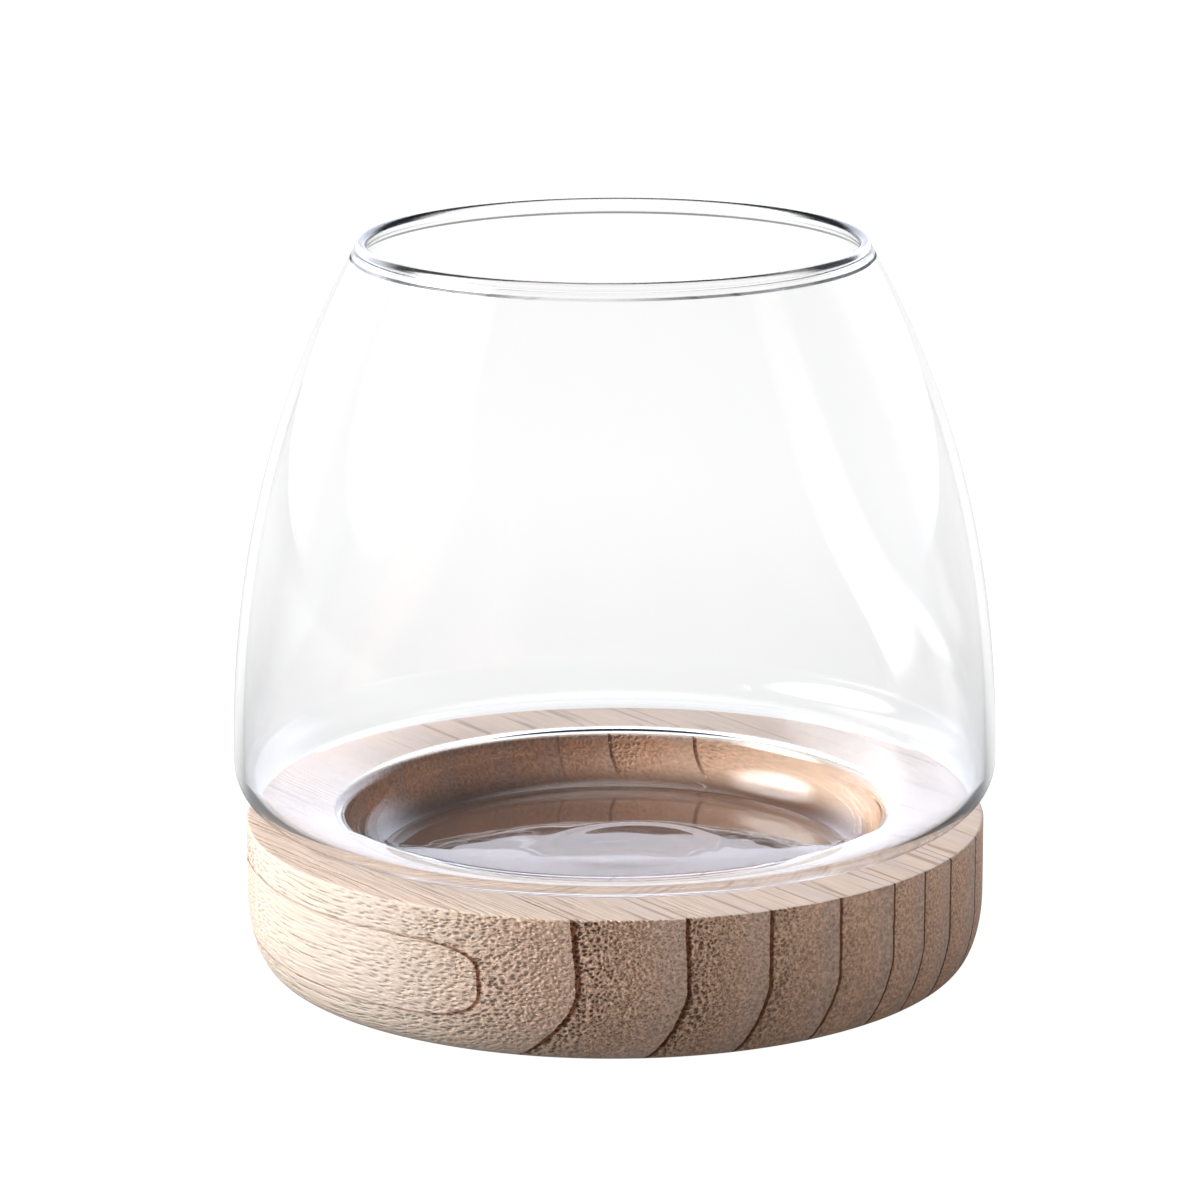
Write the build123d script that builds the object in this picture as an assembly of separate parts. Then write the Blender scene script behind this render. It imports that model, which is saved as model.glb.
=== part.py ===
from build123d import *
from math import cos, radians, tan
import os

# A blown-glass vessel that stands loose in a turned wooden base.
#
# Millimetres. +Z is up and is the axis that both pieces were turned about. The origin is the centre of
# the base's underside. Outlines are drawn in the XZ plane, with X as the radius, and revolved about Z.
# Heights of the vessel are given above the base's top face.

# ---------------------------------------------------------------- driving dimensions

# wooden base
base_radius = 72.8
base_height = 28.4
edge_round_in = 5.1        # the rounded lower edge is a quarter ellipse: this far in,
edge_round_up = 13.5       # and this far up
arris = 0.5                # small rounding of the two top edges
recess_radius = 55.5
recess_depth = 12.8
cove_radius = 12.0         # between the recess wall and its floor

# glass vessel
widest_radius = 75.0
wall = 1.9                 # glass thickness
rim_radius = 48.6          # to the middle of the rolled rim bead
rim_height = 113.2
bead_radius = 1.2
lip_angle = 28.0           # lean of the wall where it meets the bead, from vertical
lip_pull = 13.4            # how far the lip keeps that lean
belly_pull = 57.4          # how far the belly keeps upright
heel_radius = 9.6          # the turned-under heel
heel_rise = 12.0           # slope of the heel's underside, in degrees
foot_radius = 54.5         # the foot's outside, clear of the recess wall
neck_round = 1.5           # where the heel's underside turns down into the foot
heel_gap = 0.5             # air under the heel, at heel_gap_radius
heel_gap_radius = 57.0
seat_gap = 0.1             # air left under the foot, so that the two pieces never share a face
floor_top = -9.5           # the glass floor's upper face, which is flat
punt_radius = 24.0         # the slight push-up underneath it, which lets the foot stand on its rim
punt_rise = 0.5

# ---------------------------------------------------------------- helpers


def lathe(profile):
    """Turn an outline in the XZ plane about the Z axis."""
    return revolve(Plane.XZ * profile, Axis.Z)


def polar(angle, length):
    """A step of a given length, at an angle in degrees from +X towards +Y."""
    return Vector(length, 0).rotate(Axis.Z, angle)


# ---------------------------------------------------------------- wooden base


def make_wood_base():
    """A solid disc: bowl-shaped recess on top, rounded lower edge, flat underside."""
    flat_radius = base_radius - edge_round_in
    floor_height = base_height - recess_depth
    cove_height = floor_height + cove_radius
    floor_radius = recess_radius - cove_radius

    underside = Line((0, 0), (flat_radius, 0))
    lower_edge = EllipticalCenterArc(
        (flat_radius, edge_round_up), edge_round_in, edge_round_up, start_angle=270, arc_size=90
    )
    side = Line((base_radius, edge_round_up), (base_radius, base_height - arris))
    outer_arris = CenterArc((base_radius - arris, base_height - arris), arris, 0, 90)
    top = Line((base_radius - arris, base_height), (recess_radius + arris, base_height))
    inner_arris = CenterArc((recess_radius + arris, base_height - arris), arris, 90, 90)
    recess_wall = Line((recess_radius, base_height - arris), (recess_radius, cove_height))
    cove = CenterArc((floor_radius, cove_height), cove_radius, 270, 90)
    recess_floor = Line((floor_radius, floor_height), (0, floor_height))
    axis = Line((0, floor_height), (0, 0))
    outline = make_face(
        Curve()
        + [underside, lower_edge, side, outer_arris, top, inner_arris, recess_wall, cove, recess_floor, axis]
    )
    return lathe(outline)


# ---------------------------------------------------------------- glass vessel


def wall_curve(belly_height, inset):
    """The side of the vessel, from the heel to the rim bead, moved inwards by inset."""
    lip_normal = polar(lip_angle, 1)
    lip_along = polar(90 + lip_angle, 1)
    bead_centre = Vector(rim_radius, rim_height)
    belly = Vector(widest_radius - inset, belly_height)
    belly_handle = belly + Vector(0, belly_pull)
    lip = bead_centre + lip_normal * (wall / 2 - inset)
    lip_handle = lip - lip_along * lip_pull
    return Bezier(belly, belly_handle, lip_handle, lip)


def make_glass_vessel():
    """One skin of glass: belly, turned-under heel, a foot that drops into the recess, and a bead rim."""
    foot_floor = seat_gap - recess_depth

    # the heel's underside is a cone: it leaves the heel's arc and slopes down to the neck's rounding.
    # Both arcs are tangent to it, so their centres lie on lines that run along it.
    heel_end = 270 + heel_rise
    steepness = tan(radians(heel_rise))
    heel_x = widest_radius - heel_radius
    neck_x = foot_radius + neck_round
    heel_axis_height = heel_gap + heel_radius / cos(radians(heel_rise))
    neck_axis_height = heel_gap - neck_round / cos(radians(heel_rise))
    heel_centre = Vector(heel_x, heel_axis_height + (heel_x - heel_gap_radius) * steepness)
    neck_centre = Vector(neck_x, neck_axis_height + (neck_x - heel_gap_radius) * steepness)

    # outside, from the rim down to the middle of the floor
    outer_side = wall_curve(heel_centre.Y, 0)
    outer_heel = CenterArc(heel_centre, heel_radius, heel_end, 90 - heel_rise)
    outer_neck = CenterArc(neck_centre, neck_round, 90 + heel_rise, 90 - heel_rise)
    outer_under = Line(outer_heel @ 0, outer_neck @ 0)
    foot_cove = neck_centre.Y - foot_floor
    outer_foot = CenterArc((foot_radius - foot_cove, neck_centre.Y), foot_cove, 270, 90)
    foot_flat = Line(outer_foot @ 0, (punt_radius, foot_floor))
    punt = Bezier(
        (punt_radius, foot_floor),
        (punt_radius / 2, foot_floor),
        (punt_radius / 2, foot_floor + punt_rise),
        (0, foot_floor + punt_rise),
    )

    # inside, from the middle of the floor back up to the rim
    middle = Line((0, foot_floor + punt_rise), (0, floor_top))
    well_radius = foot_radius - wall
    well_cove = neck_centre.Y - floor_top
    inner_foot = CenterArc((well_radius - well_cove, neck_centre.Y), well_cove, 270, 90)
    inner_floor = Line((0, floor_top), inner_foot @ 0)
    ridge = CenterArc(neck_centre, neck_round + wall, 90 + heel_rise, 90 - heel_rise)
    inner_heel = CenterArc(heel_centre, heel_radius - wall, heel_end, 90 - heel_rise)
    heel_floor = Line(ridge @ 0, inner_heel @ 0)
    inner_side = wall_curve(heel_centre.Y, wall)
    lip = Line(inner_side @ 1, outer_side @ 1)

    skin = make_face(
        Curve()
        + [
            outer_side, outer_heel, outer_under, outer_neck, outer_foot, foot_flat, punt, middle,
            inner_floor, inner_foot, ridge, heel_floor, inner_heel, inner_side, lip,
        ]
    )
    bead = Pos(rim_radius, rim_height) * Circle(bead_radius)
    return Pos(0, 0, base_height) * lathe(skin + bead)


# ---------------------------------------------------------------- write one file for each piece

pieces = {
    "wood_base": make_wood_base(),
    "glass_vessel": make_glass_vessel(),
}

os.makedirs("parts", exist_ok=True)
for name, solid in pieces.items():
    export_step(solid, f"parts/{name}.step")
    size = solid.bounding_box().size
    print(f"{name}: {size.X:.1f} x {size.Y:.1f} x {size.Z:.1f} mm, {solid.volume / 1000:.1f} cm3")
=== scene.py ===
# %% [markdown]
# # A blown-glass vessel on a turned wooden base
#
# The real object is two pieces. One is a skin of clear glass, blown wide at the heel and drawn in to a
# bead rim, with a small foot underneath. The other is a disc of pale wood, turned on a lathe, with a
# bowl-shaped recess that the foot drops into. Both are bodies of revolution, so this lesson turns them
# from outlines, much as a wood-turner works to a template. It then spends its effort on the two
# finishes: ring-porous wood, and glass that is thin, bright and nearly invisible.
#
# The script starts by loading the finished design, which fixes every size.

# %% Load the design
import math

import bpy
import mathutils.noise
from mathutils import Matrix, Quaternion, Vector


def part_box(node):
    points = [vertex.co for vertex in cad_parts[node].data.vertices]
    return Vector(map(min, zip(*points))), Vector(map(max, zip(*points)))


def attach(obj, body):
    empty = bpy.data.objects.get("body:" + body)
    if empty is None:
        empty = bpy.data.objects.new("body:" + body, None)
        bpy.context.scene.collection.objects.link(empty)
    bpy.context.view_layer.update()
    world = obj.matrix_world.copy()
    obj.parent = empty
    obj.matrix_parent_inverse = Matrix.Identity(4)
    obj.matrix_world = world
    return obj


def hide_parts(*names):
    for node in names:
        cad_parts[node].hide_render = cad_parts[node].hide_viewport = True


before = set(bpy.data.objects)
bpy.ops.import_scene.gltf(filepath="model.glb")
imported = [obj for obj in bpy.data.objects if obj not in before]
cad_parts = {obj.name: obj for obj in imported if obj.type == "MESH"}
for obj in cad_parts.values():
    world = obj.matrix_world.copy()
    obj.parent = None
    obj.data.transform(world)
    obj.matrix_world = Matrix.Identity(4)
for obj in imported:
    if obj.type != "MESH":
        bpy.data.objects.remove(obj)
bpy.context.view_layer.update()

# %% [markdown]
# ## Sizes
#
# Lengths are in metres. The outside sizes are read from the design. What the design's box doesn't tell,
# such as how thick the glass is or how deep the recess goes, is a named value in millimetres, written
# with a small helper so that the numbers stay easy to read.

# %% Read the outside sizes from the design
MM = 0.001
base_low, base_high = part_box("wood_base")
vessel_low, vessel_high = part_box("glass_vessel")
base_radius = round((base_high.x - base_low.x) / 2, 4)
base_top = base_high.z
widest_radius = (vessel_high.x - vessel_low.x) / 2
foot_bottom = vessel_low.z
rim_top = vessel_high.z
print(f"base {base_radius / MM:.1f} mm radius, {base_top / MM:.1f} mm high")
print(f"vessel {widest_radius / MM:.1f} mm radius")
print(f"foot at {foot_bottom / MM:.1f} mm, rim at {rim_top / MM:.1f} mm")

# %% [markdown]
# ## The camera
#
# A long lens from nearly a metre away keeps the ellipses of rim and base calm. The camera looks down by
# about fourteen degrees, so that the recess and its far wall show through the glass. It leans a quarter
# of a degree, as a camera on a real stand often does. The aim is a point close to the turning axis, and
# the camera's place is found by walking back from it along the line of sight.

# %% Place the camera
camera_distance = 961.4 * MM
camera_elevation = math.radians(13.905)
camera_roll = math.radians(0.24)
aim_left = 2.77 * MM
aim_above_base = 42.66 * MM
aim = Vector((-aim_left, 0, base_top + aim_above_base))

lens = bpy.data.cameras.new("camera")
lens.sensor_width = 36
lens.lens = 147.2
lens.clip_start = 0.01
lens.clip_end = 50
camera = bpy.data.objects.new("camera", lens)
bpy.context.scene.collection.objects.link(camera)
bpy.context.scene.camera = camera

line_of_sight = Vector((0, math.cos(camera_elevation), -math.sin(camera_elevation)))
camera.location = aim - line_of_sight * camera_distance
camera.rotation_mode = "QUATERNION"
camera.rotation_quaternion = (
    line_of_sight.to_track_quat("-Z", "Y") @ Quaternion((0, 0, 1), -camera_roll)
)
print("camera at", [round(v, 4) for v in camera.location])

# %% [markdown]
# ## Outlines and the lathe
#
# An outline is a list of (radius, height) points from the axis, out round the piece, and back to the
# axis. Round stretches come from two helpers: one for arcs of a circle or an ellipse, and one for Bezier
# curves. The lathe then turns the outline about Z. Blender's Spin or Screw tools could do that too, but
# a few lines of mesh code give one clean vertex at each pole and an even count round the piece, which
# glass needs: any unevenness shows at once in what is seen through it.

# %% Outline helpers


def arc(centre, radius, start, sweep, steps, squash=1.0):
    """Points on a circle, or on an ellipse whose height is squash times its width."""
    points = []
    for i in range(steps + 1):
        angle = math.radians(start + sweep * i / steps)
        points.append(
            (centre[0] + radius * math.cos(angle), centre[1] + radius * squash * math.sin(angle))
        )
    return points


def bezier(a, b, c, d, steps):
    """Points on a cubic curve from a to d, pulled towards b and c."""
    points = []
    for i in range(steps + 1):
        t = i / steps
        weights = ((1 - t) ** 3, 3 * (1 - t) ** 2 * t, 3 * (1 - t) * t**2, t**3)
        points.append(
            tuple(sum(w * p[k] for w, p in zip(weights, (a, b, c, d))) for k in range(2))
        )
    return points


def straight(a, b, steps):
    """Evenly spaced points from a to b."""
    return [
        (a[0] + (b[0] - a[0]) * i / steps, a[1] + (b[1] - a[1]) * i / steps)
        for i in range(steps + 1)
    ]


def join(*stretches):
    """One outline from several stretches, leaving out the points where they meet twice."""
    outline = []
    for stretch in stretches:
        for p in stretch:
            if not outline or math.dist(p, outline[-1]) > 1e-6:
                outline.append(p)
    return outline


# %% The lathe
steps_round = 360


def lathe(name, outline, turns):
    """Turns an outline whose first and last points are on the axis into a closed, smooth mesh."""
    rings = outline[1:-1]
    verts = [(0, 0, outline[0][1]), (0, 0, outline[-1][1])]
    for radius, height in rings:
        for i in range(turns):
            angle = math.tau * i / turns
            verts.append((radius * math.cos(angle), radius * math.sin(angle), height))
    faces = []
    last = 2 + (len(rings) - 1) * turns
    for i in range(turns):
        j = (i + 1) % turns
        faces.append((0, 2 + j, 2 + i))
        faces.append((1, last + i, last + j))
        for k in range(len(rings) - 1):
            low = 2 + k * turns
            faces.append((low + i, low + j, low + turns + j, low + turns + i))
    mesh = bpy.data.meshes.new(name)
    mesh.from_pydata(verts, [], faces)
    mesh.validate()
    mesh.shade_smooth()
    piece = bpy.data.objects.new(name, mesh)
    bpy.context.scene.collection.objects.link(piece)
    print(f"{name}: {len(verts)} vertices, {len(faces)} faces")
    return piece


# %% [markdown]
# ## The wooden base
#
# The outline starts in the middle of the underside, follows the rounded lower edge, which is a quarter
# of an ellipse taller than it is wide, then the straight side, and comes in over the flat top to the
# recess. The recess has a short upright wall, a generous cove that a round-nosed scraper would leave,
# and a flat floor. The two top edges are just broken with abrasive paper.

# %% Outline of the base
edge_round_in = 5.1 * MM
edge_round_up = 13.5 * MM
arris = 0.5 * MM
recess_radius = 55.5 * MM
recess_depth = 12.8 * MM
cove_radius = 12.0 * MM

flat_radius = base_radius - edge_round_in
recess_floor = base_top - recess_depth
cove_middle = (recess_radius - cove_radius, recess_floor + cove_radius)

base_outline = join(
    straight((0, 0), (flat_radius, 0), 12),
    arc((flat_radius, edge_round_up), edge_round_in, 270, 90, 24, edge_round_up / edge_round_in),
    straight((base_radius, edge_round_up), (base_radius, base_top - arris), 10),
    arc((base_radius - arris, base_top - arris), arris, 0, 90, 6),
    straight((base_radius - arris, base_top), (recess_radius + arris, base_top), 10),
    arc((recess_radius + arris, base_top - arris), arris, 90, 90, 6),
    arc(cove_middle, cove_radius, 0, -90, 32),
    straight((cove_middle[0], recess_floor), (0, recess_floor), 12),
)
base = lathe("turned_base", base_outline, steps_round)

# %% [markdown]
# ## Ring-porous wood
#
# Fast-grown ring-porous wood has wide rings. Each ring opens with a thin dark line and a band of large
# pores, which get finer until the ring closes in smooth, greyer latewood. The disc is cut with the
# grain lying across it, so a pore shows as a dot where the grain comes out of the side, and as a long
# scratch where the side runs along the grain.
#
# A solid texture gives all of that at once, on every face. The colour is worked out from a place in the
# wood, not from a picture laid over the surface. Everything is measured in three directions: across the
# rings, along the grain, and up.
#
# Small helpers first, because a node tree in code is mostly repetition.

# %% Node helpers


def new_material(name, display_colour):
    """An empty node material, with the colour that the viewport shows."""
    material = bpy.data.materials.new(name)
    material.use_nodes = True
    material.node_tree.nodes.clear()
    material.diffuse_color = display_colour
    return material


def node(tree, kind, inputs=None, **settings):
    """Adds a node, sets its options, and fills or links its inputs."""
    made = tree.nodes.new(kind)
    for key, value in settings.items():
        setattr(made, key, value)
    for key, value in (inputs or {}).items():
        if isinstance(value, bpy.types.NodeSocket):
            tree.links.new(value, made.inputs[key])
        else:
            made.inputs[key].default_value = value
    return made


def maths(tree, operation, *values):
    """A Math node's result."""
    return node(tree, "ShaderNodeMath", dict(enumerate(values)), operation=operation).outputs[0]


def noise(tree, place, scale, detail=2.0, roughness=0.5):
    """Noise between 0 and 1."""
    made = node(
        tree,
        "ShaderNodeTexNoise",
        {"Vector": place, "Scale": scale, "Detail": detail, "Roughness": roughness},
    )
    return made.outputs["Fac"]


def stretch(tree, place, across, along, up):
    """The same place with each direction multiplied by its own factor."""
    made = node(
        tree,
        "ShaderNodeVectorMath",
        {0: place, 1: (across, along, up)},
        operation="MULTIPLY",
    )
    return made.outputs[0]


def remap(tree, value, from_min, from_max, to_min=0.0, to_max=1.0, smooth=True):
    """Maps one range on to another and holds the ends."""
    made = node(
        tree,
        "ShaderNodeMapRange",
        {
            "Value": value,
            "From Min": from_min,
            "From Max": from_max,
            "To Min": to_min,
            "To Max": to_max,
        },
        interpolation_type="SMOOTHSTEP" if smooth else "LINEAR",
    )
    return made.outputs["Result"]


def blend_colour(tree, share, a, b, mode="MIX"):
    """Mixes two colours by a share between 0 and 1."""
    made = node(tree, "ShaderNodeMix", data_type="RGBA", blend_type=mode)
    for socket, value in ((made.inputs[0], share), (made.inputs[6], a), (made.inputs[7], b)):
        if isinstance(value, bpy.types.NodeSocket):
            tree.links.new(value, socket)
        else:
            socket.default_value = value
    return made.outputs[2]


def blend_value(tree, share, a, b):
    """Mixes two numbers by a share between 0 and 1."""
    return node(tree, "ShaderNodeMix", {0: share, 2: a, 3: b}, data_type="FLOAT").outputs[0]


def grey_of(tree, value):
    """A grey whose brightness is a number from the tree."""
    return node(tree, "ShaderNodeCombineXYZ", {0: value, 1: value, 2: value}).outputs[0]


def part_of(tree, vector, letter):
    """One of a vector's three numbers, by its letter."""
    return node(tree, "ShaderNodeSeparateXYZ", {0: vector}).outputs[letter]


def length_of(tree, vector):
    """How long a vector is."""
    return node(tree, "ShaderNodeVectorMath", {0: vector}, operation="LENGTH").outputs["Value"]


def rgb(red, green, blue):
    """A colour given as it looks on a screen, 0 to 255, turned into the linear values nodes use."""
    values = []
    for part in (red, green, blue):
        part /= 255
        values.append(part / 12.92 if part <= 0.04045 else ((part + 0.055) / 1.055) ** 2.4)
    return (*values, 1.0)


# %% [markdown]
# ### Where a point lies in the tree
#
# The grain runs away to the left by 36 degrees, so a rotation gives the three directions. The middle of
# the tree is almost at the disc's edge, on its left. Rings near the middle are squared off, and further
# out they are almost flat, which a fifth-power distance describes well. Towards the underside the rings
# lean back to the left. Slow noise bends all of them a little, as every real ring is bent.

# %% Ring distance
grain_turn = math.radians(-36)
pith_across = -74.1 * MM
pith_height = 14.5 * MM
pith_flatten = 16.5 * MM
pith_spread = 6.7 * MM
sag_start = 14.0 * MM
sag_from, sag_full = 13.0 * MM, 24.0 * MM
sag_curve = 1.3
ring_sag = 5.1 * MM
slow_bend = 1.2 * MM
fine_bend = 0.4 * MM

wood = new_material("ring_porous_wood", rgb(214, 190, 168))
tree = wood.node_tree
place = node(tree, "ShaderNodeTexCoord").outputs["Object"]
grain = node(
    tree, "ShaderNodeMapping", {"Vector": place, "Rotation": (0, 0, grain_turn)}, vector_type="POINT"
).outputs[0]
split = node(tree, "ShaderNodeSeparateXYZ", {0: grain})
across, up = split.outputs["X"], split.outputs["Z"]

wobble = maths(tree, "SUBTRACT", noise(tree, stretch(tree, grain, 1, 0.35, 1), 32, 2), 0.5)
fine_wobble = maths(tree, "SUBTRACT", noise(tree, stretch(tree, grain, 1, 0.25, 1), 240, 2), 0.5)
from_pith = maths(tree, "SUBTRACT", across, pith_across)
lift = maths(tree, "ABSOLUTE", maths(tree, "SUBTRACT", up, pith_height))
lift = maths(tree, "TANH", maths(tree, "DIVIDE", lift, pith_spread))
lift = maths(tree, "MULTIPLY", lift, pith_flatten)
fifth = maths(tree, "ADD", maths(tree, "POWER", from_pith, 5), maths(tree, "POWER", lift, 5))
ring_distance = maths(tree, "POWER", fifth, 0.2)
below = remap(tree, up, sag_start, 0, smooth=False)
below = maths(tree, "POWER", below, sag_curve)
sag = maths(tree, "MULTIPLY", below, remap(tree, ring_distance, sag_from, sag_full))
ring_distance = maths(tree, "MULTIPLY_ADD", sag, ring_sag, ring_distance)
ring_distance = maths(tree, "MULTIPLY_ADD", wobble, slow_bend, ring_distance)
ring_distance = maths(tree, "MULTIPLY_ADD", fine_wobble, fine_bend, ring_distance)
print(f"middle of the tree: {(-pith_across - base_radius) / MM:.1f} mm outside the disc's edge")

# %% [markdown]
# ### Counting the rings
#
# The rings aren't evenly wide: some years gave nine millimetres of wood and others seventeen. A curve node
# turns the distance into a ring count, with one point for each boundary.
# The whole part of the count is the ring's number, and the fraction is the place in the ring, from 0 at
# its first pores to 1 at its end.

# %% Ring count
ring_ends = [v * MM for v in (13.1, 25.2, 42.4, 57.6, 72.7, 86.6, 96.0, 105.5, 118.5, 131, 143)]
most_distance = 160 * MM
count_limit = len(ring_ends) + 1

counter = node(tree, "ShaderNodeFloatCurve")
tree.links.new(maths(tree, "DIVIDE", ring_distance, most_distance), counter.inputs["Value"])
curve = counter.mapping.curves[0]
for number, end in enumerate(ring_ends, start=1):
    curve.points.new(end / most_distance, number / count_limit)
for point in curve.points:
    point.handle_type = "VECTOR"
counter.mapping.update()
ring_count = maths(tree, "MULTIPLY", counter.outputs[0], count_limit)
ring_number = maths(tree, "FLOOR", ring_count)
ring_place = maths(tree, "FRACT", ring_count)
widths = [(b - a) / MM for a, b in zip(ring_ends, ring_ends[1:])]
print(f"{len(ring_ends)} ring boundaries, {min(widths):.1f} to {max(widths):.1f} mm apart")

# %% [markdown]
# ### Which way a face looks
#
# End grain is where the pores come out as dots. It looks darker than side grain, because it drinks finish
# and traps light in its open cells. How far a face looks along the grain comes from its normal, turned in
# the same way as the place was. How level it is comes from the same normal.

# %% End grain
normal = node(tree, "ShaderNodeTexCoord").outputs["Normal"]
normal = node(
    tree, "ShaderNodeMapping", {"Vector": normal, "Rotation": (0, 0, grain_turn)}, vector_type="POINT"
).outputs[0]
along_grain = maths(tree, "ABSOLUTE", part_of(tree, normal, "Y"))
end_grain = remap(tree, along_grain, 0.2, 0.9)
level_face = maths(tree, "ABSOLUTE", part_of(tree, normal, "Z"))
print(f"grain turned by {math.degrees(grain_turn):.0f} degrees")

# %% [markdown]
# ### The recess
#
# The recess isn't finished like the outside. The scraper's heel has rubbed the left of its far wall and
# its floor smooth, which closes the pores and hides the rings. The distance from one place in the wood,
# and the height above the recess's floor, say how far that goes. Less light gets down there through real
# glass as well, because every surface of it turns some back. Lamps pass through this lesson's glass
# unhindered, so a darker colour stands in for that shade. This painted shade is dark on the floor, and
# milder and browner on the wall. It is a compromise: with the glass lifted out, the floor still looks
# dark.

# %% Recess
burnish_middle = (-38 * MM, 40 * MM, base_top - 6 * MM)
burnish_core, burnish_edge = 24 * MM, 38 * MM
burnished, floor_burnished = 0.12, 0.15

hollow_edge = recess_radius + 1.5 * MM
from_axis = length_of(tree, stretch(tree, place, 1, 1, 0))
hollow_top = remap(tree, up, base_top - 1.2 * MM, base_top - 0.2 * MM, 1.0, 0.0)
hollow = remap(tree, from_axis, hollow_edge, hollow_edge + 1 * MM, 1.0, 0.0)
hollow = maths(tree, "MULTIPLY", hollow, hollow_top)
# The floor mask carries both the burnish and the floor's painted shade.
low_down = remap(tree, up, recess_floor + 2 * MM, recess_floor + 8 * MM, 1.0, 0.0)
hollow_floor = maths(tree, "MULTIPLY", hollow, low_down)
from_burnish = node(tree, "ShaderNodeVectorMath", {0: place, 1: burnish_middle}, operation="DISTANCE")
open_grain = remap(tree, from_burnish.outputs["Value"], burnish_core, burnish_edge, burnished, 1.0)
open_floor = remap(tree, hollow_floor, 0, 1, 1.0, floor_burnished, smooth=False)
open_grain = maths(tree, "MULTIPLY", open_grain, open_floor)
print(f"recess floor at {recess_floor / MM:.1f} mm, its edge at {recess_radius / MM:.1f} mm from the axis")

# %% [markdown]
# ### Pores
#
# Pores are the cells of a flat Voronoi texture, read across the grain and up, so that each one runs on
# along the grain as a vessel does. The distance to the nearest vessel's middle is compared with a pore
# size, which is large at the start of a ring and shrinks to almost nothing. A second, finer set of cells
# gives the small pores between them. A noise breaks the large vessels into short stretches, so that side
# grain shows dashes and not endless lines. The first rings, near the middle of the tree, keep their
# large pores for longer, and the pores of the outer rings are weaker.

# %% Pore pattern
drift_reach = 1.6 * MM
large_cells_per_metre = 1150.0
small_cells_per_metre = 2300.0
first_size, last_size = 0.50, 0.12
side_size = 0.55
small_size = 0.36
side_pores, level_pores, end_pores = 0.30, 0.35, 0.95

drift = node(
    tree, "ShaderNodeTexNoise", {"Vector": stretch(tree, grain, 1, 0.3, 1), "Scale": 260.0, "Detail": 3.0}
).outputs["Color"]
drifted = node(
    tree,
    "ShaderNodeVectorMath",
    {0: drift, 1: (drift_reach, 0, drift_reach), 2: grain},
    operation="MULTIPLY_ADD",
).outputs[0]
tube = node(tree, "ShaderNodeSeparateXYZ", {0: drifted})
tube_place = node(tree, "ShaderNodeCombineXYZ", {0: tube.outputs["X"], 1: tube.outputs["Z"]}).outputs[0]


def tubes(cells_per_metre):
    """Distance from the nearest vessel's middle, in cells, for vessels that run on along the grain."""
    cells = node(
        tree,
        "ShaderNodeTexVoronoi",
        {"Vector": tube_place, "Scale": cells_per_metre, "Randomness": 1.0},
        voronoi_dimensions="2D",
        feature="F1",
    )
    return cells.outputs["Distance"]


def by_ring(first, last, at_first, at_last):
    """A value that changes evenly from one ring's number to another's."""
    return remap(tree, ring_number, first, last, at_first, at_last, smooth=False)


pore_place = maths(tree, "MULTIPLY", ring_place, by_ring(0, 2, 0.45, 1.0))
vigour = maths(tree, "MULTIPLY", by_ring(2, 5, 1.0, 0.3), open_grain)
patches = noise(tree, stretch(tree, grain, 1, 0.3, 1), 150, 3)
patchy = remap(tree, patches, 0.35, 0.62, 0.8, 1.2, smooth=False)
gaps = remap(tree, noise(tree, stretch(tree, grain, 1, 0.4, 1), 1100, 2), 0.36, 0.50)
large_size = remap(tree, pore_place, 0.03, 0.42, first_size, last_size, smooth=False)
large_size = maths(tree, "MULTIPLY", large_size, patchy)
shown_size = remap(tree, end_grain, 0, 0.95, side_size, 1.0, smooth=False)
large_size = maths(tree, "MULTIPLY", large_size, shown_size)
large_cells = tubes(large_cells_per_metre)
large_pores = remap(tree, maths(tree, "SUBTRACT", large_size, large_cells), -0.06, 0.14)
large_pores = maths(tree, "MULTIPLY", large_pores, gaps)
small_cells = tubes(small_cells_per_metre)
small_pores = remap(tree, maths(tree, "SUBTRACT", small_size, small_cells), -0.14, 0.2)
small_fade = remap(tree, pore_place, 0.45, 0.9, 0.42, 0.1, smooth=False)
small_pores = maths(tree, "MULTIPLY", small_pores, small_fade)
pores = maths(tree, "MULTIPLY", maths(tree, "MAXIMUM", large_pores, small_pores), vigour)
side_share = remap(tree, level_face, 0.2, 0.9, side_pores, level_pores)
pore_share = blend_value(tree, end_grain, side_share, end_pores)
pore_share = maths(tree, "MULTIPLY", pores, pore_share)
print(f"large vessels are about {1 / large_cells_per_metre / MM:.2f} mm apart")

# %% [markdown]
# ### Boundary lines, streaks and fibre
#
# Each ring starts with a thin brown line. Its edge is ragged, because it is made of the first vessels and
# not ruled. On level faces the same vessels lie open along the grain, as brown streaks. Fibre is a noise
# drawn out along the grain. On end grain the wood between the pores looks like fine leather. A third set
# of cells paints that look as shade in the middle of each small cell and as light towards its edge,
# standing in for how light falls on the fine relief. The relief is for the bump further down, and stands
# highest between the vessels.

# %% Boundary lines, streaks and fibre
side_line_width, end_line_width = 0.075, 0.095
line_raggedness = 0.05
side_line, end_line = 0.45, 0.92
most_streak = 0.45
leather_cells_per_metre = 1700.0
pit_painted_shade, ridge_painted_light = 0.62, 1.28

relief = remap(tree, large_cells, 0.0, 0.55)
relief = maths(tree, "MULTIPLY", relief, remap(tree, pore_place, 0.4, 0.85, 1.0, 0.2))
relief = maths(tree, "MULTIPLY", relief, vigour)

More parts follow.
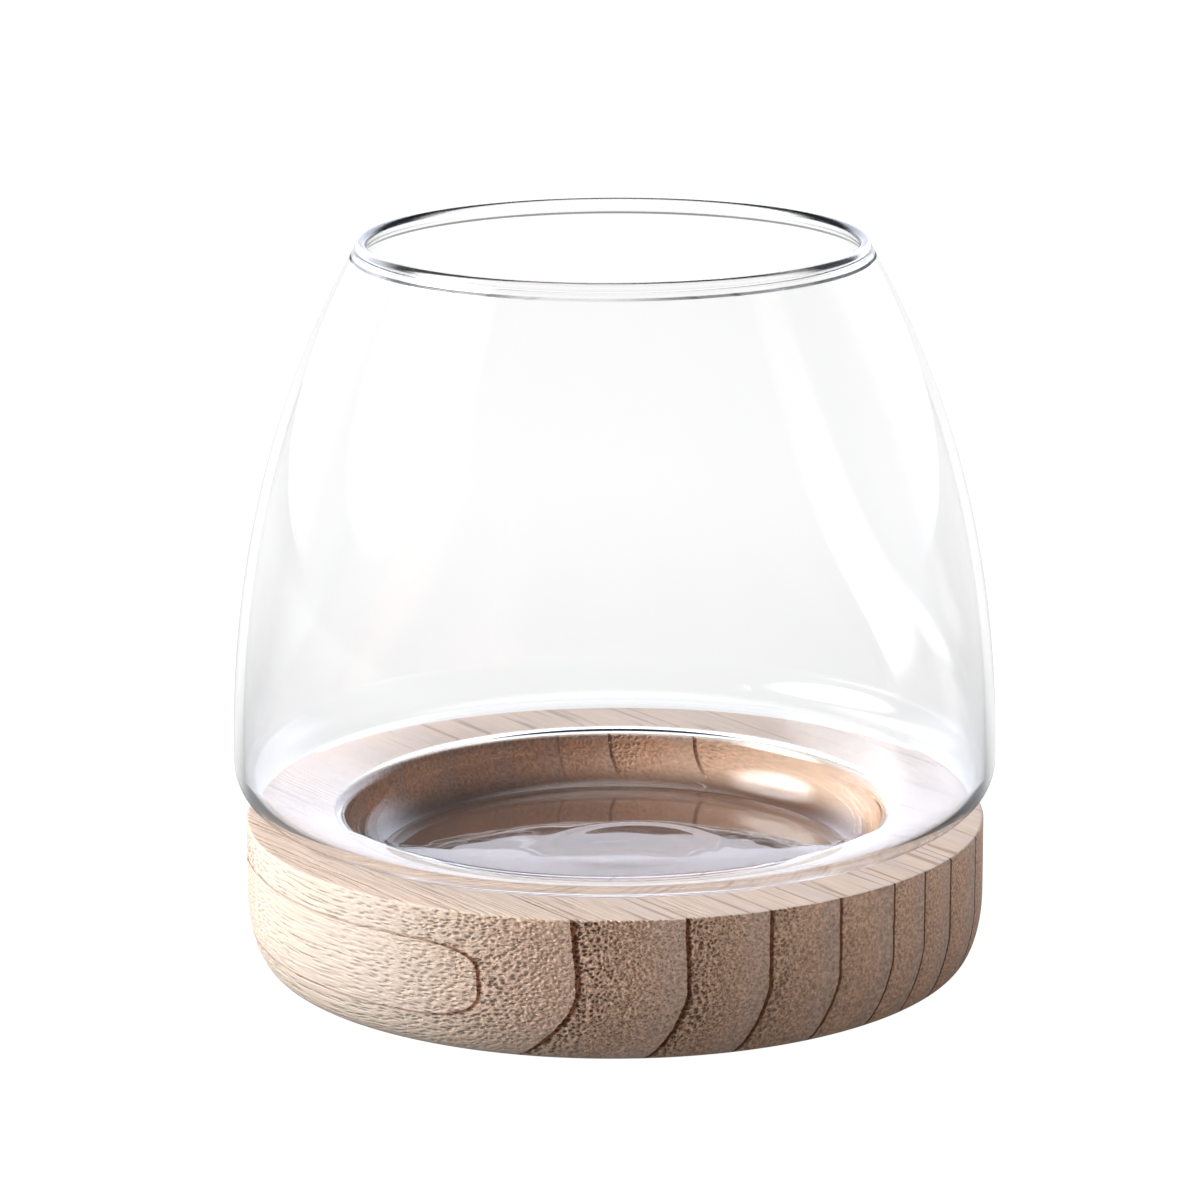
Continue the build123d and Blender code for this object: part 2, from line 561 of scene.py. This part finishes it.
ragged = noise(tree, stretch(tree, grain, 1, 0.1, 1), 1300, 2)
ragged = maths(tree, "MULTIPLY_ADD", ragged, line_raggedness, ring_place)
line_end = remap(tree, end_grain, 0, 1, side_line_width, end_line_width, smooth=False)
line_fade = maths(tree, "DIVIDE", maths(tree, "SUBTRACT", line_end, ragged), 0.03)
line = maths(tree, "MULTIPLY", remap(tree, ring_place, 0.0, 0.008), remap(tree, line_fade, 0, 1))
line = maths(tree, "MULTIPLY", line, open_grain)
line_strength = remap(tree, end_grain, 0, 0.5, side_line, end_line, smooth=False)
line_share = maths(tree, "MULTIPLY", line, line_strength)
streaks = remap(tree, noise(tree, stretch(tree, grain, 1, 0.03, 0.3), 800, 1), 0.63, 0.69)
streaks = maths(tree, "MULTIPLY", streaks, remap(tree, level_face, 0.8, 1.0, 0, most_streak))
line_share = maths(tree, "MAXIMUM", line_share, streaks)

fibre = noise(tree, stretch(tree, grain, 1, 0.06, 1), 1500, 2, 0.6)
grey_late = remap(tree, pore_place, 0.45, 0.95)
# Painted light and shade of the fine relief: darker in each small cell's middle, lighter towards its edge.
leather_light_and_shade = remap(tree, tubes(leather_cells_per_metre), 0.1, 0.65, pit_painted_shade, ridge_painted_light, smooth=False)
leather_share = maths(tree, "MULTIPLY", vigour, end_grain)
leather_fade = remap(tree, pore_place, 0.35, 1, 1.0, 0.3)
leather_share = maths(tree, "MULTIPLY", leather_share, leather_fade)
leather_light_and_shade = blend_value(tree, leather_share, 1.0, leather_light_and_shade)
print(f"a boundary line takes {side_line_width:.3f} to {end_line_width:.3f} of its ring")

# %% [markdown]
# ### Colour
#
# Early wood is a warm cream, latewood is greyer, and end grain is darker than side grain. A slow noise
# changes the tone from place to place, and the fibre gives it a fine tooth. The flat top, the recess's
# wall and its floor each get a tint of painted shade. The top is toned down for how brightly it is lit
# from above. The wall is warmed and dimmed, and the floor darkened, for the shade down in the recess. The
# boundary lines and the pores are laid over that.

# %% Wood colour
side_early = rgb(236, 219, 203)
side_late = rgb(231, 217, 205)
end_early = rgb(236, 194, 166)
end_late = rgb(223, 190, 171)
pore_colour = rgb(76, 42, 24)
line_colour = rgb(122, 70, 40)
# Painted shade: the flat top is toned down for how brightly it is lit from above.
flat_top_painted_shade = (0.90, 0.82, 0.78, 1)
# Painted shade: a warmer, dimmer tint for the recess's wall, down in the hollow.
hollow_wall_painted_shade = (1.16, 0.92, 0.73, 1)
# Painted shade: a dark tint for the recess's floor, where less light gets through the glass.
hollow_floor_painted_shade = (0.15, 0.10, 0.08, 1)


def tone(colour, value, low, high):
    """Multiplies a colour by a grey that runs from low to high as a noise runs from 0.3 to 0.7."""
    grey = remap(tree, value, 0.3, 0.7, low, high, smooth=False)
    return blend_colour(tree, 1.0, colour, grey_of(tree, grey), "MULTIPLY")


def tint(colour, share, tinting):
    """Multiplies a colour by a tint, as far as share says."""
    return blend_colour(tree, share, colour, blend_colour(tree, 1.0, colour, tinting, "MULTIPLY"))


side_colour = blend_colour(tree, grey_late, side_early, side_late)
side_colour = tone(side_colour, fibre, 0.92, 1.06)
end_colour = blend_colour(tree, grey_late, end_early, end_late)
end_colour = tone(end_colour, fibre, 0.68, 1.30)
# The leather pattern is painted light and shade on end grain.
end_colour = blend_colour(tree, 1.0, end_colour, grey_of(tree, leather_light_and_shade), "MULTIPLY")
colour = blend_colour(tree, end_grain, side_colour, end_colour)
colour = tone(colour, noise(tree, stretch(tree, grain, 1, 0.1, 1), 60, 3), 0.95, 1.04)
outside_hollow = remap(tree, hollow, 0, 1, 1, 0)
flat_top = maths(tree, "MULTIPLY", remap(tree, level_face, 0.8, 1.0), outside_hollow)
# Painted shade on the flat top.
colour = tint(colour, flat_top, flat_top_painted_shade)
# Painted shade on the recess's wall.
colour = tint(colour, hollow, hollow_wall_painted_shade)
# Painted shade on the recess's floor.
colour = tint(colour, hollow_floor, hollow_floor_painted_shade)
colour = blend_colour(tree, line_share, colour, line_colour)
colour = blend_colour(tree, pore_share, colour, pore_colour)
print("early wood, linear values:", [round(v, 2) for v in side_early[:3]])

# %% [markdown]
# ### Surface
#
# Sanded wood is matt, and more so in its open pores. The pores are pits and the fibre stands up between
# them, by a fraction of a millimetre, which a bump map shows well enough. It is weaker on side grain,
# where the tool has cut cleanly.

# %% Wood surface
bump_depth = 0.45 * MM
side_relief = 0.3
fibre_relief, pore_relief = 0.4, 0.4
smooth_roughness, pore_roughness = 0.58, 0.9

height = maths(tree, "MULTIPLY_ADD", fibre, fibre_relief, relief)
height = maths(tree, "SUBTRACT", height, maths(tree, "MULTIPLY", pores, pore_relief))
how_cut = remap(tree, end_grain, 0, 1, side_relief, 1.0, smooth=False)
height = maths(tree, "MULTIPLY", height, how_cut)
bump = node(tree, "ShaderNodeBump", {"Height": height, "Strength": 1.0, "Distance": bump_depth})
roughness = remap(tree, pores, 0, 1, smooth_roughness, pore_roughness, smooth=False)
shader = node(
    tree,
    "ShaderNodeBsdfPrincipled",
    {
        "Base Color": colour,
        "Roughness": roughness,
        "Normal": bump.outputs[0],
        "Specular IOR Level": 0.12,
    },
)
surface = node(tree, "ShaderNodeOutputMaterial")
tree.links.new(shader.outputs[0], surface.inputs["Surface"])
base.data.materials.append(wood)

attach(base, "base")
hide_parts("wood_base")
print("wood nodes:", len(tree.nodes))

# %% [markdown]
# ## The glass vessel
#
# The outline runs up the outside and down the inside, 1.9 mm apart, so that the glass is a real skin
# with two faces. Much of what is seen at the rim, the heel and the foot comes from light bending through
# this thickness.
#
# The belly is one long curve. It leaves the heel upright and leans in by 28 degrees at the rim, where
# the edge was melted back into a round bead. At the bottom the wall turns under in a tight heel, runs
# in along a shallow cone just above the wood, and drops into the recess as a foot with a cove of its
# own. The floor is flat on top and pushed up a little underneath.

# %% Outline of the vessel
wall = 1.9 * MM
bead_radius = 1.2 * MM
rim_radius = 48.6 * MM
lip_angle = math.radians(28)
lip_pull = 13.4 * MM
belly_pull = 57.4 * MM
heel_radius = 9.6 * MM
heel_rise = math.radians(12)
foot_radius = 54.5 * MM
neck_round = 1.5 * MM
heel_gap = 0.5 * MM
heel_gap_radius = 57.0 * MM
bead_overlap_degrees = 38
bead_clearance = 1.12
floor_top = base_top - 9.5 * MM
punt_radius = 24.0 * MM
punt_rise = 0.5 * MM

heel_x = widest_radius - heel_radius
neck_x = foot_radius + neck_round
steepness = math.tan(heel_rise)
along_cone = 1 / math.cos(heel_rise)
heel_z = base_top + heel_gap + heel_radius * along_cone + (heel_x - heel_gap_radius) * steepness
neck_z = base_top + heel_gap - neck_round * along_cone + (neck_x - heel_gap_radius) * steepness
bead_z = rim_top - bead_radius


def side(inset, steps):
    """The belly from the heel up to the lip, moved inwards by inset."""
    out = wall / 2 - inset
    lip = (rim_radius + out * math.cos(lip_angle), bead_z + out * math.sin(lip_angle))
    belly = (widest_radius - inset, heel_z)
    return bezier(
        belly,
        (belly[0], belly[1] + belly_pull),
        (lip[0] + lip_pull * math.sin(lip_angle), lip[1] - lip_pull * math.cos(lip_angle)),
        lip,
        steps,
    )


cone_turn = math.degrees(heel_rise)
foot_cove = neck_z - foot_bottom
well_cove = neck_z - floor_top
outside = join(
    bezier(
        (0, foot_bottom + punt_rise),
        (punt_radius / 2, foot_bottom + punt_rise),
        (punt_radius / 2, foot_bottom),
        (punt_radius, foot_bottom),
        20,
    ),
    arc((foot_radius - foot_cove, neck_z), foot_cove, 270, 90, 24),
    arc((neck_x, neck_z), neck_round, 180, -(90 - cone_turn), 10),
    arc((heel_x, heel_z), heel_radius, 270 + cone_turn, 90 - cone_turn, 20),
    side(0, 60),
)
inside = join(
    list(reversed(side(wall, 60))),
    arc((heel_x, heel_z), heel_radius - wall, 0, -(90 - cone_turn), 20),
    arc((neck_x, neck_z), neck_round + wall, 90 + cone_turn, 90 - cone_turn, 16),
    arc((foot_radius - wall - well_cove, neck_z), well_cove, 0, -90, 24),
    straight((foot_radius - wall - well_cove, floor_top), (0, floor_top), 60),
)
bead_middle = (rim_radius, bead_z)
bead_start = math.degrees(lip_angle) - bead_overlap_degrees
bead = arc(bead_middle, bead_radius, bead_start, 180 + 2 * bead_overlap_degrees, 24)
outside = [p for p in outside if math.dist(p, bead_middle) > bead_radius * bead_clearance]
inside = [p for p in inside if math.dist(p, bead_middle) > bead_radius * bead_clearance]
vessel = lathe("blown_vessel", join(outside, bead, inside), steps_round)

# %% [markdown]
# ### What the hand leaves behind
#
# A lathe's floor is too perfect. A blown one is shaped while soft: it has a shallow round dip, a little
# off the axis, and a faint ripple all over. The dip is about a tenth of a millimetre deep and the ripple a
# fiftieth, but the floor is seen at a low angle and mirrors the surroundings, so both show as soft edges.
# The points of the floor's upper face are moved in code, because a modifier would move the rest as well.

# %% Dip and ripples in the floor
dip_centre = Vector((4 * MM, 6 * MM, 0))
dip_radius = 16.5 * MM
dip_edge = 3.0 * MM
dip_depth = 0.12 * MM
ripple_height = 0.02 * MM
ripples_per_metre = 170
moved = 0
for vertex in vessel.data.vertices:
    at = vertex.co
    if abs(at.z - floor_top) > 0.001 * MM:
        continue
    from_dip = math.hypot(at.x - dip_centre.x, at.y - dip_centre.y)
    share = min(max((dip_radius - from_dip) / dip_edge + 0.5, 0), 1)
    dip = dip_depth * share * share * (3 - 2 * share)
    ripple = ripple_height * mathutils.noise.noise(Vector((at.x, at.y, 0)) * ripples_per_metre)
    vertex.co.z = floor_top - dip + ripple
    moved += 1
print("points moved on the glass floor:", moved)

# %% [markdown]
# ### Glass
#
# The shader is the ordinary one with full transmission. Its colour gets darker as the glass is seen more
# edge on, by a curve for the wall, and by two milder ones for the foot and the bead. That darkening is
# painted shade and painted reflection: it stands in for the unevenness and the dark surroundings which
# draw the sides of a real vessel in grey. A faint grey-blue absorption adds what the glass itself takes
# away where a line of sight runs through a long way of it.

# %% Glass material
glass = new_material("clear_blown_glass", (0.93, 0.95, 0.97, 0.3))
tree = glass.node_tree
facing = node(tree, "ShaderNodeLayerWeight", {"Blend": 0.5}).outputs["Facing"]
edge = node(tree, "ShaderNodeFloatCurve", {"Value": facing})
curve = edge.mapping.curves[0]
# Painted shade: the glass darkens towards grazing views, for the dark surroundings seen at its edges.
painted_edge_shade = ((0.0, 1.0), (0.6, 0.965), (0.8, 0.83), (0.92, 0.47), (1.0, 0.15))
curve.points[0].location = painted_edge_shade[0]
curve.points[1].location = painted_edge_shade[-1]
for at, value in painted_edge_shade[1:-1]:
    curve.points.new(at, value)
edge.mapping.update()
# These three are the painted edge shade of wall, foot and bead.
wall_tint = edge.outputs[0]
foot_edge_shade = remap(tree, facing, 0.8, 1.0, 1.0, 0.7)
bead_edge_shade = remap(tree, facing, 0.5, 0.95, 1.0, 0.4)
place = node(tree, "ShaderNodeTexCoord").outputs["Object"]
height = part_of(tree, place, "Z")
bead_foot = rim_top - 2 * bead_radius
above_foot = remap(tree, height, base_top + 3 * MM, base_top + 13 * MM)
in_bead = remap(tree, height, bead_foot - 0.2 * MM, bead_foot + 0.2 * MM)
# The painted edge shade, joined by height.
grey = blend_value(tree, above_foot, foot_edge_shade, wall_tint)
grey = blend_value(tree, in_bead, grey, bead_edge_shade)
clear = node(
    tree,
    "ShaderNodeBsdfPrincipled",
    {"Base Color": grey_of(tree, grey), "Roughness": 0.0, "IOR": 1.48, "Transmission Weight": 1.0},
)
print("tints by how far edge on the glass is seen:", painted_edge_shade)

# %% [markdown]
# ### Painted dark lines at the bead, the heel and the outline
#
# On the real piece the top of the bead, the crease under it and the turn of the heel show as thin dark
# lines. Refraction gives such lines too, but their width and place depend on every lamp. Here they are
# painted shade, drawn by the material: a share called drawn says where the glass lets almost nothing
# through. The lines of the bead, the crease and the heel are bands of heights on the piece. Those of the
# bead and the heel also fade with how far edge on the glass is seen, and the outline is painted by that
# alone above the foot, as a dark edge. Slow noise makes the rim's lines stronger in one place than
# another.

# %% Lines at the bead, the heel and the outline
crease_height = rim_top - 2.85 * MM
crease_core, crease_edge = 0.20 * MM, 0.35 * MM
crease_strength, heel_strength, outline_strength = 0.9, 0.6, 0.3
heel_line_radius = 59 * MM

level_place = stretch(tree, place, 1, 1, 0)
from_axis = length_of(tree, level_place)
bead_top = remap(tree, height, rim_top - 1.1 * MM, rim_top - 0.9 * MM)
bead_line = maths(tree, "MULTIPLY", bead_top, remap(tree, facing, 0.25, 0.42))
bead_line = maths(tree, "MULTIPLY", bead_line, remap(tree, facing, 0.58, 0.74, 1.0, 0.0))
crease_low = remap(tree, height, crease_height - crease_edge, crease_height - crease_core)
crease_high = remap(tree, height, crease_height + crease_core, crease_height + crease_edge, 1.0, 0.0)
crease = maths(tree, "MULTIPLY", maths(tree, "MULTIPLY", crease_low, crease_high), crease_strength)
crease = maths(tree, "MULTIPLY", crease, remap(tree, from_axis, 49.4 * MM, 49.6 * MM))
rim_line = maths(tree, "MAXIMUM", bead_line, crease)
uneven = noise(tree, level_place, 26, 1)
rim_line = maths(tree, "MULTIPLY", rim_line, remap(tree, uneven, 0.34, 0.50, 0.5, 0.95))
heel_low = remap(tree, height, base_top + 1.5 * MM, base_top + 3.0 * MM, heel_strength, 0.0)
heel_line = remap(tree, from_axis, heel_line_radius, heel_line_radius + 1 * MM)
heel_line = maths(tree, "MULTIPLY", heel_low, heel_line)
heel_line = maths(tree, "MULTIPLY", heel_line, remap(tree, facing, 0.72, 0.86))
outline = maths(tree, "MULTIPLY", above_foot, remap(tree, facing, 0.90, 0.97, 0.0, outline_strength))
# Painted shade: where the dark lines of bead, crease, heel and outline are drawn.
drawn = maths(tree, "MAXIMUM", maths(tree, "MAXIMUM", rim_line, heel_line), outline)
print(f"crease line at {crease_height / MM:.1f} mm")

# %% [markdown]
# ### Putting the glass together
#
# Lamps would need to find their way through two curved faces to light the wood, which takes a very long
# render. So a transparent shader, which doesn't bend light, takes the glass's place for shadow and diffuse
# rays. The same shader, almost black, is what shows where a dark line is painted as shade.

# %% Glass shader
clear_pass = (0.96, 0.97, 0.98, 1)
# Almost black, for the painted dark lines.
painted_line_pass = (0.05, 0.05, 0.05, 1)

through_colour = blend_colour(tree, drawn, clear_pass, painted_line_pass)
straight_through = node(tree, "ShaderNodeBsdfTransparent", {"Color": through_colour})
path = node(tree, "ShaderNodeLightPath")
indirect = maths(tree, "MAXIMUM", path.outputs["Is Shadow Ray"], path.outputs["Is Diffuse Ray"])
share = maths(tree, "MAXIMUM", indirect, drawn)
mixed = node(tree, "ShaderNodeMixShader", {0: share, 1: clear.outputs[0], 2: straight_through.outputs[0]})
absorption = node(tree, "ShaderNodeVolumeAbsorption", {"Color": (0.86, 0.88, 0.93, 1), "Density": 20.0})
surface = node(tree, "ShaderNodeOutputMaterial")
tree.links.new(mixed.outputs[0], surface.inputs["Surface"])
tree.links.new(absorption.outputs[0], surface.inputs["Volume"])
vessel.data.materials.append(glass)

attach(vessel, "vessel")
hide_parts("glass_vessel")
print("glass nodes:", len(tree.nodes))

# %% [markdown]
# ## The studio
#
# Glass is shown best against a bright field, so that it is drawn by its own dark edges. The floor is a
# pale sheet lit from inside, as a light table is, which also keeps shadows faint.
#
# What glass mirrors matters as much as what is behind it. Photographers stand dark cards round it, called
# flags. Real cards would be in the way of the other views, so the light path does the same: a ray that
# comes straight from the camera, or that has only gone through glass, sees a plain pale floor. A mirrored
# ray sees the floor bright at the back, and dim in front and close to the object. A ray that gathers
# light for the wood sees it bright all round, except close to the object at the front and the sides.

# %% Light path helper


def seen_straight_through(tree, path):
    """1 for a ray that has come through glass without being mirrored on its way, else 0."""
    mirrored = maths(tree, "MINIMUM", path.outputs["Glossy Depth"], 1)
    return maths(tree, "GREATER_THAN", path.outputs["Is Transmission Ray"], mirrored)


# %% Floor
floor_mesh = bpy.data.meshes.new("floor")
reach = 6.0
floor_mesh.from_pydata(
    [(-reach, -reach, 0), (reach, -reach, 0), (reach, reach, 0), (-reach, reach, 0)], [], [(0, 1, 2, 3)]
)
floor = bpy.data.objects.new("floor", floor_mesh)
floor_drop = 0.05 * MM
floor.location.z = -floor_drop
bpy.context.scene.collection.objects.link(floor)
print(f"floor {floor_drop / MM:.2f} mm below the base, {2 * reach:.0f} m across")

# %% Floor material
front_glow, close_glow = 0.12, 0.2
near_glow, far_glow = 0.90, 1.02
most_glow = 0.95

sheet = new_material("lit_floor", (0.95, 0.95, 0.95, 1))
tree = sheet.node_tree
floor_place = node(tree, "ShaderNodeTexCoord").outputs["Object"]
away = length_of(tree, floor_place)
heading = node(tree, "ShaderNodeVectorMath", {0: floor_place}, operation="NORMALIZE").outputs[0]
backness = part_of(tree, heading, "Y")
path = node(tree, "ShaderNodeLightPath")
seen_through = seen_straight_through(tree, path)
glow = remap(tree, backness, 0.45, 0.85, front_glow, 1.0)
glow = maths(tree, "MAXIMUM", glow, path.outputs["Is Diffuse Ray"])
close = remap(tree, away, 0.095, 0.155, close_glow, 1.0)
close = maths(tree, "MAXIMUM", close, remap(tree, backness, 0.5, 0.8))
glow = maths(tree, "MAXIMUM", maths(tree, "MULTIPLY", glow, close), seen_through)
glow = maths(tree, "MULTIPLY", glow, remap(tree, away, 0.15, 0.45, near_glow, far_glow))
glow = maths(tree, "MAXIMUM", maths(tree, "MULTIPLY", glow, most_glow), path.outputs["Is Camera Ray"])
shader = node(
    tree,
    "ShaderNodeBsdfPrincipled",
    {
        "Base Color": (0.15, 0.15, 0.15, 1),
        "Roughness": 1.0,
        "Specular IOR Level": 0.0,
        "Emission Color": (1, 1, 1, 1),
        "Emission Strength": glow,
    },
)
surface = node(tree, "ShaderNodeOutputMaterial")
tree.links.new(shader.outputs[0], surface.inputs["Surface"])
floor_mesh.materials.append(sheet)
print("floor nodes:", len(tree.nodes))

# %% [markdown]
# ### Lamps
#
# One large soft light stands at the left and models the wood. A weak one high at the back opens up the
# recess. Both fade from their middle to their edge, so that their reflections in the glass have no hard
# outline, and the large one is dimmed where it is only seen mirrored.

# %% Lamps
object_middle = Vector((0, 0, 0.06))


def soft_light(name, azimuth, elevation, distance, size, power, seen_in_glass=1.0):
    """An area light that looks at the middle of the object. Azimuth 0 is the front, 90 the right."""
    a, e = math.radians(azimuth), math.radians(elevation)
    away = Vector((math.sin(a) * math.cos(e), -math.cos(a) * math.cos(e), math.sin(e)))
    data = bpy.data.lights.new(name, "AREA")
    data.shape = "RECTANGLE"
    data.size, data.size_y = size
    data.energy = power
    data.use_nodes = True
    tree = data.node_tree
    spot = node(tree, "ShaderNodeNewGeometry").outputs["Parametric"]
    from_middle = node(tree, "ShaderNodeVectorMath", {0: spot, 1: (0.5, 0.5, 0)}, operation="DISTANCE")
    fade = remap(tree, from_middle.outputs["Value"], 0.1, 0.5, 1.0, 0.0)
    mirrored = node(tree, "ShaderNodeLightPath").outputs["Is Glossy Ray"]
    fade = maths(tree, "MULTIPLY", fade, remap(tree, mirrored, 0, 1, 1.0, seen_in_glass))
    tree.links.new(fade, tree.nodes["Emission"].inputs["Strength"])
    lamp = bpy.data.objects.new(name, data)
    lamp.location = object_middle + away * distance
    lamp.rotation_mode = "QUATERNION"
    lamp.rotation_quaternion = (-away).to_track_quat("-Z", "Y")
    bpy.context.scene.collection.objects.link(lamp)
    print(f"{name}: {power} W, {distance} m away")


soft_light("key", -86, 31, distance=1.6, size=(1.5, 1.5), power=130, seen_in_glass=0.25)
soft_light("back_top", 180, 63, distance=1.2, size=(0.8, 1.3), power=10.5)

# %% [markdown]
# ### Surroundings
#
# Behind the object stands a bright, slightly blue panel that doesn't reach overhead, and everywhere else
# the surroundings are dim. The panel is brighter where it is mirrored than where it lights the wood, so
# that glass gets its bright edges without bleaching the back of the base. Rays straight from the camera,
# or only through glass, see plain white.

# %% Surroundings
dim_sides = (0.155, 0.15, 0.15, 1)
panel_as_light = (1.5, 1.56, 1.75, 1)
panel_in_glass = (1.95, 2.06, 2.36, 1)
plain_white = (1.1, 1.1, 1.1, 1)

world = bpy.data.worlds.new("studio")
bpy.context.scene.world = world
world.use_nodes = True
tree = world.node_tree
tree.nodes.clear()
direction = node(tree, "ShaderNodeTexCoord").outputs["Generated"]
level = stretch(tree, direction, 1, 1, 0)
level = node(tree, "ShaderNodeVectorMath", {0: level}, operation="NORMALIZE").outputs[0]
backness = part_of(tree, level, "Y")
upness = part_of(tree, direction, "Z")
behind = remap(tree, backness, 0.3, 0.75)
panel = maths(tree, "MULTIPLY", behind, remap(tree, upness, 0.38, 0.68, 1.0, 0.0))
path = node(tree, "ShaderNodeLightPath")
panel_colour = blend_colour(tree, path.outputs["Is Glossy Ray"], panel_as_light, panel_in_glass)
sky = blend_colour(tree, panel, dim_sides, panel_colour)
seen_through = seen_straight_through(tree, path)
seen = maths(tree, "MAXIMUM", path.outputs["Is Camera Ray"], seen_through)
sky = blend_colour(tree, seen, sky, plain_white)
background = node(tree, "ShaderNodeBackground", {"Color": sky, "Strength": 1.0})
surface = node(tree, "ShaderNodeOutputWorld")
tree.links.new(background.outputs[0], surface.inputs["Surface"])
print("surroundings nodes:", len(tree.nodes))

# %% [markdown]
# ## Picture settings
#
# Light in a thick edge of glass is turned back inside many times before it comes out. With the usual few
# bounces those places go black, so the limits are raised. The standard view keeps white as white.

# %% Picture settings
bounces = bpy.context.scene.cycles
bounces.max_bounces = 32
bounces.glossy_bounces = 24
bounces.transmission_bounces = 32
picture = bpy.context.scene.view_settings
picture.view_transform = "Standard"
picture.look = "None"
print("most bounces:", bounces.max_bounces)
